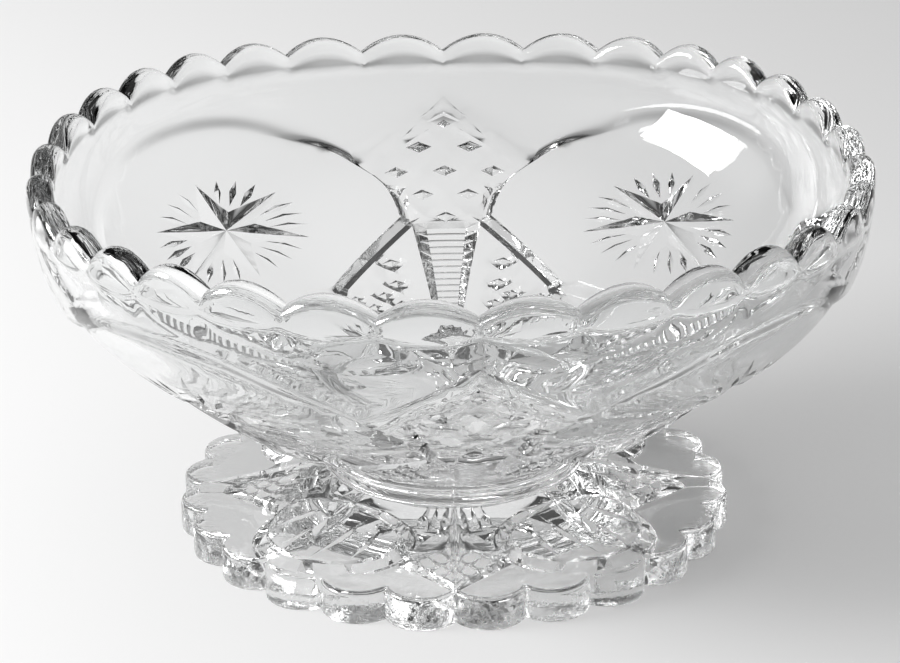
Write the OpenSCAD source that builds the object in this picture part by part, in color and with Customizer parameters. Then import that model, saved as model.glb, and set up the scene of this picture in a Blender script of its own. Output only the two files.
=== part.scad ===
// Footed dessert bowl of clear pressed glass.
// Three pressings stuck together while hot: a scalloped bowl, a round wafer and a scalloped foot.
// The frame stands on the table: origin under the middle of the foot, +Z up, front towards -Y.

/* [Rim] */
// Mean outside diameter of the rim
rim_d = 199; // [180:1:220]
// Height of the tallest scallops above the table
height = 94; // [88:0.5:104]
// Scallops round the rim, a multiple of four so that each column has a notch
rim_scallops = 32; // [24:4:40]
// Height of a scallop from its notches to its crown
scallop_rise = 4; // [2:0.1:6]
// How far each scallop swells out of the wall
scallop_swell = 0.8; // [0:0.1:1.5]
// How far the notches drift from even spacing towards the panels, in degrees
scallop_drift = 2; // [0:0.1:3]
// How much lower the rim is at the columns than over the panels
rim_dip = 2.2; // [0:0.1:4]
// How much farther out the rim is over the panels than at the columns
rim_square = 2.8; // [0:0.1:5]
// Thickness of the wall at the rim
rim_wall = 5.6; // [4.5:0.1:7]

/* [Bowl] */
// Height of the bowl's flat underside above the table
base_z = 20; // [18:0.5:24]
// Radius of the bowl's flat underside
base_r = 31; // [27:0.5:35]
// Thickness of the bowl's floor
floor_t = 6; // [4:0.5:8]
// Turn of the bowl's pattern against the foot's, in degrees
bowl_turn = 2.5; // [-10:0.5:10]

/* [Pattern] */
// Half width of an oval panel, measured round the wall
panel_half_w = 53; // [45:1:56]
// Half height of an oval panel, measured up the wall
panel_half_h = 30; // [24:1:32]
// Depth of an oval panel below the wall
panel_sink = 2.4; // [0.5:0.1:2.8]
// Mean depth of a lattice column below the wall
column_sink = 1.8; // [0:0.1:2.2]
// Half width of the raised ladder low in each column, in degrees
ladder_half = 5; // [3:0.1:7]
// How far the ladder stands proud of the wall
ladder_rise = 0.6; // [0:0.1:1]
// Distance of the ladder's top below the panel centres, down the wall
ladder_drop = 12; // [8:0.5:20]
// Width of the bevel round panels and columns
bevel = 4; // [3:0.5:8]
// Height of a column's peak above the panel centres, up the wall
peak_rise = 28; // [20:1:30]
// Fall of a column's shoulders for each degree away from its middle
shoulder_fall = 0.9; // [0.5:0.05:1.5]

/* [Wafer] */
// Thickness of the wafer
wafer_t = 5.5; // [4:0.5:8]
// How far the wafer's rim bulges past the bowl's underside
wafer_bulge = 1.5; // [0.5:0.1:3]

/* [Foot] */
// Diameter over the foot's scallops
foot_d = 132.4; // [120:0.2:145]
// Scallops round the foot
foot_scallops = 24; // [20:4:28]
// Radius of one foot scallop
foot_scallop_r = 8.9; // [8.5:0.1:10]
// Height of the foot's upright edge
foot_edge = 8; // [6:0.5:10]
// Depth of the four petal hollows in the foot's underside
petal_sink = 5.6; // [2:0.1:5.8]
// Radius of a petal hollow where it meets the table
petal_r = 19.5; // [16:0.5:19.5]
// How much smaller a petal hollow is at its ceiling
petal_bevel = 2.4; // [1:0.1:4]
// Depth of the four kite hollows between the petals
kite_sink = 4.5; // [1:0.1:4.6]

/* [Hidden] */

glass = [0.86, 0.9, 0.9, 0.45];
sides = 4;
side_angle = 360 / sides;
rim_r = rim_d / 2;
rim_top_r = rim_wall / 2;
shoulder_z = height - rim_top_r;
wall_h = shoulder_z - base_z;

// Wall curves from the rim down: outside to the underside's edge, inside to the middle of the floor
outer_curve = [
    [rim_r, shoulder_z],
    [rim_r + 2.9, shoulder_z - 0.46 * wall_h],
    [base_r + 0.71 * (rim_r - base_r), base_z + 0.35 * wall_h],
    [base_r, base_z]
];
floor_z = base_z + floor_t;
inner_curve = [
    [rim_r - rim_wall, shoulder_z],
    [rim_r + 1.1, shoulder_z - 0.465 * wall_h],
    [1.5 * base_r, floor_z],
    [0, floor_z]
];

// Rings of the bowl's skin, from the middle of its floor over the rim to its underside
steps_per_scallop = 6;
steps = rim_scallops * steps_per_scallop;
inner_rings = 8;
rim_rings = 3;
outer_rings = 18;
scallop_low_z = shoulder_z - 0.2 * wall_h;

// Middle of an oval panel on the outside curve
panel_t = 0.5;

// Foot: the scallops' centres, the round core between them, and where its top starts to rise
scallop_ring_r = foot_d / 2 - foot_scallop_r;
core_r = scallop_ring_r + 2;
flat_r = core_r - 4;
petal_reach = core_r - 0.4 - petal_r;
petal_h = min(petal_sink, foot_edge - 1.4);
// Half of a kite hollow as distances out from the middle and aside, for a foot of the usual width
kite_half = [[25, 0], [27, 3], [35, 8.2], [42.2, 12.6], [56.2, 0]];
wafer_z = base_z - wafer_t;
pad_r = base_r - 0.5;
top_points = 10;
round_fn = 96;

function clamp01(x) = max(0, min(1, x));
function ease(x) = let(c = clamp01(x)) c * c * (3 - 2 * c);
function bezier(p, t) =
    pow(1 - t, 3) * p[0] + 3 * pow(1 - t, 2) * t * p[1] + 3 * (1 - t) * t * t * p[2] + pow(t, 3) * p[3];

// Signed angle from the nearest column, and from the nearest panel centre
function off_column(a) = let(m = (a % side_angle + side_angle) % side_angle) m > side_angle / 2 ? m - side_angle : m;
function off_panel(a) = off_column(a - side_angle / 2);

// Height of the scallop at an angle, 0 in the notches and 1 on the crowns
function scallop(a) = let(
    even = a - scallop_drift * sin(sides * (a - scallop_drift * sin(sides * a))),
    x = even * rim_scallops / 360,
    across = 2 * (x - floor(x)) - 1
) 1 - across * across;

// How far the rim lies below the full height at an angle
function rim_drop(a) = rim_dip * (1 + cos(sides * a)) / 2 + scallop_rise * (1 - scallop(a));
// Share of the rim's shape that reaches down to a height
function rim_share(z) = pow(clamp01((z - scallop_low_z) / (shoulder_z - scallop_low_z)), 2);
// Outward shift that squares the plan, strongest at the rim
function square_shift(a, z) = -rim_square / 2 * cos(sides * a) * clamp01((z - base_z) / wall_h);

// Distance up the wall from the panel centres
function up_wall(p) = let(c = bezier(outer_curve, panel_t)) sign(p[1] - c[1]) * norm(p - c);
// Depth of the pressed pattern at an angle and a point of the outside curve
function panel_depth(a, p) = let(
    across = off_panel(a) * PI / 180 * p[0] / panel_half_w,
    up = up_wall(p) / panel_half_h
) panel_sink * ease((1 - norm([across, up])) * panel_half_h / bevel);
function column_depth(a, p) = let(
    edge = peak_rise - shoulder_fall * abs(off_column(a))
) column_sink * ease((edge - up_wall(p)) / bevel);
function on_ladder(a, p) = abs(off_column(a)) < ladder_half && up_wall(p) < -ladder_drop;
function pattern_depth(a, p) = let(
    foot_fade = clamp01((p[1] - base_z) / bevel)
) on_ladder(a, p) ? -ladder_rise * foot_fade : max(panel_depth(a, p), column_depth(a, p) * foot_fade);

// A point of the skin: its place in the wall's section, moved by the rim's shape
function skin_point(a, p) = let(
    r = p[0] + square_shift(a, p[1]),
    z = p[1] - rim_drop(a) * rim_share(p[1])
) [r * cos(a + bowl_turn), r * sin(a + bowl_turn), z];
function inner_point(a, t) = skin_point(a, bezier(inner_curve, t));
function outer_point(a, t) = let(
    p = bezier(outer_curve, t),
    depth = pattern_depth(a, p),
    slope = bezier(outer_curve, min(1, t + 0.01)) - bezier(outer_curve, max(0, t - 0.01)),
    inward = [slope[1], -slope[0]] / norm(slope),
    swell = scallop_swell * scallop(a) * rim_share(p[1])
) skin_point(a, p + depth * inward + [swell, 0]);
// The rounded lip, from the inside wall over to the outside wall
function lip_point(a, turn) = let(
    swell = scallop_swell * scallop(a) / 2 * (1 - cos(turn)),
    r = rim_r - rim_top_r - rim_top_r * cos(turn) + swell + square_shift(a, shoulder_z),
    z = shoulder_z + rim_top_r * sin(turn) - rim_drop(a)
) [r * cos(a + bowl_turn), r * sin(a + bowl_turn), z];

module bowl() {
    angles = [for (i = [0 : steps - 1]) i * 360 / steps];
    rings = concat(
        [for (j = [inner_rings - 1 : -1 : 0]) [for (a = angles) inner_point(a, j / inner_rings)]],
        [for (j = [1 : rim_rings]) [for (a = angles) lip_point(a, 180 * j / (rim_rings + 1))]],
        [for (j = [0 : outer_rings]) [for (a = angles) outer_point(a, j / outer_rings)]]
    );
    skin = [for (ring = rings, p = ring) p];
    count = len(rings);
    floor_mid = len(skin);
    under_mid = floor_mid + 1;
    last = (count - 1) * steps;
    walls = [
        for (j = [0 : count - 2], i = [0 : steps - 1], half = [0, 1])
            let(
                k = (i + 1) % steps,
                low = j * steps,
                high = low + steps
            )
            half == 0 ? [low + i, high + i, high + k] : [low + i, high + k, low + k]
    ];
    caps = [
        for (i = [0 : steps - 1], end = [0, 1])
            let(k = (i + 1) % steps)
            end == 0 ? [floor_mid, i, k] : [under_mid, last + k, last + i]
    ];
    color(glass)
    polyhedron(concat(skin, [[0, 0, floor_z], [0, 0, base_z]]), concat(walls, caps), convexity = 6);
}

module joining_wafer() {
    bead_r = wafer_t / 2;
    arc = [for (turn = [-90 : 15 : 90]) [base_r - 1 + wafer_bulge * cos(turn), bead_r * sin(turn)]];
    color(glass)
    translate([0, 0, wafer_z + bead_r])
    rotate_extrude($fn = round_fn)
    polygon(concat([[0, -bead_r]], arc, [[0, bead_r]]));
}

// Height of the foot's top at a radius: flat near the scallops, sweeping up to the wafer
function foot_top(r) = foot_edge + (wafer_z - foot_edge) * pow((flat_r - r) / (flat_r - pad_r), 2);

// Section of the foot inside its scallops
module foot_section() {
    top = [
        for (i = [0 : top_points])
            let(r = flat_r + (pad_r - flat_r) * i / top_points)
            [r, foot_top(r)]
    ];
    polygon(concat([[0, 0], [core_r, 0], [core_r, foot_edge]], top, [[0, wafer_z]]));
}

// Scalloped plate that carries the foot's edge
module scalloped_plate() {
    linear_extrude(foot_edge)
    union() {
        circle(core_r, $fn = round_fn);
        for (i = [0 : foot_scallops - 1])
            rotate((i + 0.5) * 360 / foot_scallops)
            translate([scallop_ring_r, 0])
            circle(foot_scallop_r, $fn = round_fn);
    }
}

// One petal hollow, wider at the table than at its ceiling
module petal_hollow() {
    under = 1;
    translate([petal_reach, 0, -under])
    cylinder(
        h = petal_h + under,
        r1 = petal_r + petal_bevel * under / petal_h,
        r2 = petal_r - petal_bevel,
        $fn = round_fn
    );
}

// One kite hollow
module kite_hollow() {
    size = foot_d / 132.4;
    far = [for (p = kite_half) size * p];
    near = [for (i = [len(far) - 2 : -1 : 1]) [far[i][0], -far[i][1]]];
    translate([0, 0, -1])
    linear_extrude(kite_sink + 1)
    polygon(concat(far, near));
}

module foot() {
    color(glass)
    difference() {
        union() {
            scalloped_plate();
            rotate_extrude($fn = round_fn)
            foot_section();
        }
        for (i = [0 : sides - 1]) {
            rotate((i + 0.5) * side_angle)
            petal_hollow();
            rotate(i * side_angle)
            kite_hollow();
        }
    }
}

bowl();
joining_wafer();
foot();
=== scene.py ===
"""Footed dessert bowl of clear pressed glass, on a pale studio floor.

The three pressings (bowl, joining wafer and foot) are drawn flat as creases and depths, cut into facets and laid on
their round walls. Their sizes are in millimetres and degrees, as in the part's source. Meshes, finishes and the
studio are in metres.
"""

from __future__ import annotations

import logging
import math
from collections.abc import Callable, Sequence
from dataclasses import dataclass, field
from enum import Enum
from typing import ClassVar

import bmesh
import bpy
import numpy as np
from mathutils import Matrix, Vector
from mathutils.geometry import delaunay_2d_cdt
from mathutils.kdtree import KDTree


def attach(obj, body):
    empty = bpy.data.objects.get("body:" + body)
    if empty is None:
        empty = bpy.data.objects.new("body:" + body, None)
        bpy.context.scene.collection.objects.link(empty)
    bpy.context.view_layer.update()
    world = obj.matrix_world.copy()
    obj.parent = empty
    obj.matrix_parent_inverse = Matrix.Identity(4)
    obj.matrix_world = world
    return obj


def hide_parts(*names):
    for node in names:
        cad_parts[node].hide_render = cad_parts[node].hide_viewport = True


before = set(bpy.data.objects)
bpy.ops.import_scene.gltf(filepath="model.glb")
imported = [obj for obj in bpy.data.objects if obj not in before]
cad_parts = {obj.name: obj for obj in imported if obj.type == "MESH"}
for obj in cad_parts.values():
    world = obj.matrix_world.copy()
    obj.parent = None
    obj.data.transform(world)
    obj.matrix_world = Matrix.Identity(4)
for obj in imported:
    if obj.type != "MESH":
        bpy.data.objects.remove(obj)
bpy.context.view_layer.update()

Pair = tuple[float, float]
Triple = tuple[float, float, float]
Colour = tuple[float, float, float, float]
DepthAt = Callable[[float, float], float]

LOG = logging.getLogger("dessert_bowl")
MM = 0.001
TINY = 1e-6
IMAGE_W = 900
WHITE: Colour = (1.0, 1.0, 1.0, 1.0)
# The pattern has four alike quarters with a mirror line in each, so an eighth of it is drawn
QUARTERS = 4
EIGHTH = 45.0
PAST_EIGHTH = 46.0
# Height of an even triangle, for staggered rows of dots
ROW_PITCH = 0.87
# Lozenges along each side of a lattice diamond
CELLS_A_SIDE = 3


class Face(Enum):
    """Which finish a patch of a pressing wears."""

    GLASS = 0
    FUSED = 1


# Drawing the pressed patterns


class Drawing:
    """A flat drawing of a pressed surface: dots with depths, and the creases between them."""

    INSIDE_ONLY = 1
    MERGE = 1e-5

    def __init__(self) -> None:
        """Starts an empty sheet."""
        self.dots: list[Pair] = []
        self.depths: list[float | None] = []
        self.lines: list[tuple[int, int]] = []
        self.crisp: list[bool] = []
        self.blanks: list[np.ndarray] = []

    def dot(self, x: float, y: float, depth: float | None = None) -> int:
        """Adds one dot.

        Args:
            x: Its place across the sheet.
            y: Its place along the sheet.
            depth: Its depth, or None to have it worked out later.

        Returns:
            Its number.
        """
        self.dots.append((float(x), float(y)))
        self.depths.append(None if depth is None else float(depth))
        return len(self.dots) - 1

    def stroke(self, points: Sequence[Pair], depths: Sequence[float | None] | float | None, crisp: bool = True) -> None:
        """Draws a crease through points.

        Args:
            points: Places on the sheet, in order.
            depths: Depth at each place or one for all, None to have it worked out later.
            crisp: Whether the glass has a sharp edge there.
        """
        each = depths if isinstance(depths, (list, np.ndarray)) else [depths] * len(points)
        marks = [self.dot(x, y, d) for (x, y), d in zip(points, each)]
        for pair in zip(marks, marks[1:]):
            self.lines.append(pair)
            self.crisp.append(crisp)

    def blank(self, outline: Sequence[Pair]) -> None:
        """Keeps filling dots out of an outline."""
        self.blanks.append(np.array(outline, float))

    def is_blank(self, x: float, y: float) -> bool:
        """Tells whether a place is kept free of filling dots."""
        return any(inside(outline, x, y) for outline in self.blanks)

    def fill(self, width: float, rows: np.ndarray, step: float, clear: float) -> None:
        """Adds staggered rows of dots that stand clear of every crease, of both sides and of every blank.

        Args:
            width: Width of the sheet.
            rows: Where the rows lie along the sheet.
            step: Distance between the dots of a row.
            clear: Least distance from a crease.
        """
        places = np.array(self.dots)
        ends = np.array(self.lines)
        start, run = places[ends[:, 0]], places[ends[:, 1]] - places[ends[:, 0]]
        length2 = np.maximum((run**2).sum(1), TINY**2)
        grid = [(x + (step / 2) * (j % 2), y) for j, y in enumerate(rows) for x in np.arange(0, width, step)]
        for x, y in grid:
            if not 1 < x < width - 1 or self.is_blank(x, y):
                continue
            away = np.array((x, y)) - start
            along = np.clip((away * run).sum(1) / length2, 0, 1)
            gap2 = ((away - along[:, None] * run) ** 2).sum(1)
            if gap2.min() > clear * clear:
                self.dot(x, y)

    def cut(self, depth_at: DepthAt, across_mm: float) -> Facets:
        """Cuts the sheet into triangles along its creases.

        Args:
            depth_at: Gives the depth of a dot that has none of its own.
            across_mm: Millimetres of the sheet for a degree round the piece.

        Returns:
            The facets, their places across the sheet in degrees.
        """
        dots = [Vector(d) for d in self.dots]
        cut = delaunay_2d_cdt(dots, self.lines, [], self.INSIDE_ONLY, self.MERGE)
        corners, edges, faces, from_dots, from_lines, _ = cut
        depths = []
        for corner, sources in zip(corners, from_dots):
            own = [self.depths[k] for k in sources if self.depths[k] is not None]
            depths.append(own[0] if own else depth_at(corner.x, corner.y))
        crisp = [
            tuple(edge) for edge, sources in zip(edges, from_lines)
            if any(k < len(self.crisp) and self.crisp[k] for k in sources)
        ]
        places = np.array([tuple(c) for c in corners])
        places[:, 0] /= across_mm
        return Facets(places, np.array(depths), [tuple(f) for f in faces], crisp)


@dataclass
class Facets:
    """A sheet cut into triangles."""

    places: np.ndarray
    depths: np.ndarray
    faces: list[tuple[int, ...]]
    crisp: list[tuple[int, int]]


def inside(outline: np.ndarray, x: float, y: float) -> bool:
    """Tells whether a point lies inside a closed outline.

    Args:
        outline: The outline's points.
        x: The point's place across.
        y: The point's place along.

    Returns:
        True if it does.
    """
    x0, y0 = outline[:, 0], outline[:, 1]
    x1, y1 = np.roll(x0, -1), np.roll(y0, -1)
    rise = np.where(y1 == y0, TINY**2, y1 - y0)
    crosses = ((y0 > y) != (y1 > y)) & (x < (x1 - x0) * (y - y0) / rise + x0)
    return bool(crosses.sum() % 2)


@dataclass
class Dish:
    """The bevelled edge of a sunk field: where it starts, and how far each point of it moves inward."""

    PASSES: ClassVar[int] = 60
    SHARP: ClassVar[float] = 1.02

    outline: np.ndarray
    reach: np.ndarray
    inward: np.ndarray = field(init=False)

    def __post_init__(self) -> None:
        """Works out the mitres, and drops points that would cross in a corner."""
        self.reach = np.broadcast_to(self.reach, len(self.outline)).astype(float)
        for _ in range(self.PASSES):
            self.inward = self.mitres(self.outline)
            moved = self.ring(1.0)
            turned = (np.diff(self.outline, axis=0) * np.diff(moved, axis=0)).sum(1) <= 0
            drop = np.zeros(len(self.outline), bool)
            drop[1:] |= turned
            drop[:-1] |= turned
            drop &= np.linalg.norm(self.inward, axis=1) <= self.SHARP
            drop[0] = drop[-1] = False
            if not drop.any():
                break
            self.outline, self.reach = self.outline[~drop], self.reach[~drop]

    @staticmethod
    def mitres(points: np.ndarray) -> np.ndarray:
        """Works out the inward steps along an outline that runs from mirror line to mirror line.

        Args:
            points: The outline's points, with the field on its left.

        Returns:
            The step of each point.
        """
        run = np.diff(points, axis=0)
        run /= np.linalg.norm(run, axis=1)[:, None]
        side = np.stack([-run[:, 1], run[:, 0]], 1)
        before, after = np.vstack([side[:1], side]), np.vstack([side, side[-1:]])
        before[0] = after[0] * (-1, 1)
        after[-1] = before[-1] * (-1, 1)
        return (before + after) / (1 + (before * after).sum(1))[:, None]

    def ring(self, share: np.ndarray | float) -> np.ndarray:
        """The outline moved inward by a share of its reach, one for all points or one each."""
        return self.outline + np.reshape(share * self.reach, (-1, 1)) * self.inward


def lens_cut(drawing: Drawing, place: Callable[[Pair], Pair], start: Pair, end: Pair, half_w: float,
             level: float | None, deep: float, half: bool = False) -> None:
    """Draws one V-shaped cut that tapers to a point at both ends.

    Args:
        drawing: The sheet.
        place: Takes a point of the field's own plane to the sheet.
        start: One end of the cut.
        end: The other end.
        half_w: Half its width, a little past the middle.
        level: Depth of the field round it, or None to have it worked out later.
        deep: Depth of its bottom.
        half: Whether only the side towards -X is on this sheet, the cut lying on the mirror line.
    """
    widest = 0.55
    run = np.array(end) - np.array(start)
    side = np.array((-run[1], run[0])) / np.linalg.norm(run) * half_w
    middle = np.array(start) + widest * run
    drawing.stroke([place(start), place(tuple(middle)), place(end)], [level, deep, level])
    for sign in (-1, 1):
        flank = middle + sign * side
        if not (half and flank[0] > 0):
            drawing.stroke([place(start), place(tuple(flank)), place(end)], level)
            drawing.stroke([place(tuple(flank)), place(tuple(middle))], [level, deep], crisp=False)


def pillow(drawing: Drawing, x: float, y: float, half_w: float, half_h: float, ground: DepthAt, rise: float,
           steps: int, nick: Pair = (0.0, 0.0)) -> None:
    """Draws one domed lozenge, leaving out what lies left of the mirror line.

    Args:
        drawing: The sheet.
        x: Its middle across the sheet.
        y: Its middle along the sheet.
        half_w: Half its width.
        half_h: Half its height.
        ground: Gives the depth of the ground that it stands on.
        rise: How far its middle stands above the ground, as a share of the ground's depth.
        steps: Number of steps along each side.
        nick: Half the length and half the width of a short level cut across its middle, or zeros for none.
    """
    nick_clear, nick_slope = 0.4, 1.25
    long, wide = nick

    def spot(i: int, j: int) -> Triple:
        """Works out the place and depth of a point of the lozenge's own grid.

        Args:
            i: Its step along one side.
            j: Its step along the other.

        Returns:
            Its place on the sheet and its depth.
        """
        u, v = 2 * i / steps - 1, 2 * j / steps - 1
        across, up = (u - v) / 2, (u + v) / 2
        place = (x + half_w * across, y + half_h * up)
        return *place, ground(*place) * (1 - rise * (1 - across**2 - up**2))

    for i in range(1, steps):
        for j in range(1, steps):
            dot = spot(i, j)
            on_nick = abs(dot[0] - x) < long + nick_clear and abs(dot[1] - y) < wide + nick_clear
            if dot[0] > -TINY and not on_nick:
                drawing.dot(*dot)
    if long:
        level = ground(x, y) * (1 - rise)
        for end in (x - long, x + long):
            if end > 0:
                drawing.stroke([(x, y - wide), (end, y), (x, y + wide)], level)
                drawing.stroke([(x, y), (end, y)], [level + nick_slope * wide, level])
    for j in range(steps):
        sides = [((k, j), (k, j + 1)) for k in (0, steps)] + [((j, k), (j + 1, k)) for k in (0, steps)]
        for side in sides:
            ends = [spot(*k) for k in side]
            if min(end[0] for end in ends) > -TINY:
                drawing.stroke([end[:2] for end in ends], [end[2] for end in ends])
    drawing.blank([(x + half_w, y), (x, y + half_h), (x - half_w, y), (x, y - half_h)])


def diamond_cells() -> list[tuple[int, int]]:
    """Lists the lozenges of a lattice diamond that lie on the mirror line or right of it.

    Returns:
        The row of each, counted from the middle row, and its place across in half lozenges.
    """
    n = CELLS_A_SIDE
    return [(row, x) for row in range(1 - n, n) for x in range(1 - n + abs(row), n - abs(row), 2) if x >= 0]


# Meshes


def add_object(name: str, data: bpy.types.ID) -> bpy.types.Object:
    """Makes an object and links it to the scene.

    Args:
        name: Its name.
        data: Its mesh, lamp or camera.

    Returns:
        The object.
    """
    made = bpy.data.objects.new(name, data)
    bpy.context.scene.collection.objects.link(made)
    return made


class Pressing:
    """Collects the patches of one piece of glass and closes them into a mesh."""

    WELD = 2e-7
    CRISP_ANGLE = math.radians(38)

    def __init__(self) -> None:
        """Starts with no patches."""
        self.points: list[np.ndarray] = []
        self.faces: list[tuple[int, ...]] = []
        self.wears: list[int] = []
        self.crisp: list[tuple[int, int]] = []
        self.count = 0

    def patch(self, points: np.ndarray, faces: Sequence[tuple[int, ...]], wears: Face = Face.GLASS,
              crisp: Sequence[tuple[int, int]] = ()) -> None:
        """Adds a patch.

        Args:
            points: Its points in millimetres.
            faces: Its faces by point number.
            wears: The finish on it.
            crisp: Its sharp edges.
        """
        n = self.count
        self.points.append(np.asarray(points, float))
        self.faces += [tuple(n + k for k in face) for face in faces]
        self.wears += [wears.value] * len(faces)
        self.crisp += [(n + a, n + b) for a, b in crisp]
        self.count += len(points)

    def rings(self, rings: Sequence[np.ndarray]) -> None:
        """Adds a skin of closed rings.

        Args:
            rings: The rings in order, all with the same number of points.
        """
        steps = len(rings[0])
        faces = [
            (j * steps + i, j * steps + (i + 1) % steps, (j + 1) * steps + (i + 1) % steps, (j + 1) * steps + i)
            for j in range(len(rings) - 1) for i in range(steps)
        ]
        self.patch(np.vstack(rings), faces)

    def fan(self, ring: np.ndarray, z: float, wears: Face = Face.GLASS, crisp: bool = True) -> None:
        """Closes a ring with triangles to a point on the axis.

        Args:
            ring: The ring's points.
            z: Height of the point.
            wears: The finish on the triangles.
            crisp: Whether the ring is a sharp edge.
        """
        steps = len(ring)
        edge = [(i, (i + 1) % steps) for i in range(steps)]
        faces = [(i, k, steps) for i, k in edge]
        self.patch(np.vstack([ring, [(0, 0, z)]]), faces, wears, edge if crisp else [])

    def mirrored(self, facets: Facets, lay: Callable[[np.ndarray, np.ndarray, np.ndarray], np.ndarray]) -> None:
        """Lays an eighth of a pattern eight times round the piece.

        Args:
            facets: The eighth, its places as angle from a column in degrees and a second value.
            lay: Takes angles, second values and depths to points in space.
        """
        for quarter in range(QUARTERS):
            for sign in (1, -1):
                angles = 2 * EIGHTH * quarter + sign * facets.places[:, 0]
                faces = facets.faces if sign > 0 else [face[::-1] for face in facets.faces]
                self.patch(lay(angles, facets.places[:, 1], facets.depths), faces, crisp=facets.crisp)

    def close(self, name: str) -> bpy.types.Object:
        """Welds the patches into one closed mesh and makes its object.

        Args:
            name: Name of the object.

        Returns:
            The object, linked to the scene.
        """
        mesh = bpy.data.meshes.new(name)
        mesh.from_pydata((np.vstack(self.points) * MM).tolist(), [], self.faces)
        mesh.polygons.foreach_set("material_index", np.array(self.wears, np.int32))
        creases = self.creases()
        work = bmesh.new()
        work.from_mesh(mesh)
        bmesh.ops.remove_doubles(work, verts=work.verts, dist=self.WELD)
        bmesh.ops.recalc_face_normals(work, faces=work.faces)
        for face in work.faces:
            face.smooth = True
        for edge in work.edges:
            bent = len(edge.link_faces) == 2 and edge.calc_face_angle(0) > self.CRISP_ANGLE
            drawn = creases.find((edge.verts[0].co + edge.verts[1].co) / 2)[2]
            edge.smooth = not (bent or (drawn is not None and drawn < 5 * self.WELD))
        loose = sum(1 for edge in work.edges if len(edge.link_faces) != 2)
        LOG.info("%s: %d faces, %d open edges", name, len(work.faces), loose)
        work.to_mesh(mesh)
        work.free()
        return add_object(name, mesh)

    def creases(self) -> KDTree:
        """Finds the middles of the drawn creases, to know them again after the weld.

        Returns:
            The middles as a tree.
        """
        points = np.vstack(self.points) * MM
        tree = KDTree(len(self.crisp))
        for k, (a, b) in enumerate(self.crisp):
            tree.insert((points[a] + points[b]) / 2, k)
        tree.balance()
        return tree


def bezier(points: np.ndarray, t: np.ndarray) -> np.ndarray:
    """Works out points of a cubic curve.

    Args:
        points: The curve's four control points.
        t: Where on the curve, from 0 to 1.

    Returns:
        The points, one a row.
    """
    t = np.reshape(t, (-1, 1))
    u = 1 - t
    return u**3 * points[0] + 3 * u**2 * t * points[1] + 3 * u * t * t * points[2] + t**3 * points[3]


def ease(x: np.ndarray | float) -> np.ndarray | float:
    """Smooth step from 0 to 1."""
    c = np.clip(x, 0, 1)
    return c * c * (3 - 2 * c)


def heading(turn: float) -> np.ndarray:
    """Way to go at an angle from +Y towards -X."""
    return np.array((-math.sin(math.radians(turn)), math.cos(math.radians(turn))))


def polar(turns: np.ndarray, r: np.ndarray | float, z: np.ndarray | float) -> np.ndarray:
    """Points in space from angles, radii and heights."""
    a = np.radians(turns)
    return np.stack([r * np.cos(a), r * np.sin(a), z + 0 * a], 1)


def circle(radius: float, z: float, steps: int) -> np.ndarray:
    """Points of a level circle round the axis."""
    return polar(np.arange(steps) * 360 / steps, radius, z)


@dataclass
class Seam:
    """Where the pressings were stuck together."""

    radius: float = 30.0
    steps: int = 288
    top_z: float = 20.0
    low_z: float = 14.5


class Piece:
    """A piece of glass, whose own class builds its mesh."""

    def build(self) -> bpy.types.Object:
        """Makes the mesh."""
        raise NotImplementedError

    def dressed(self, finishes: Sequence[bpy.types.Material]) -> bpy.types.Object:
        """Builds the mesh and puts its finishes on.

        Args:
            finishes: The finishes, in the order of Face.

        Returns:
            The object.
        """
        made = self.build()
        for finish in finishes:
            made.data.materials.append(finish)
        return made


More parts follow.
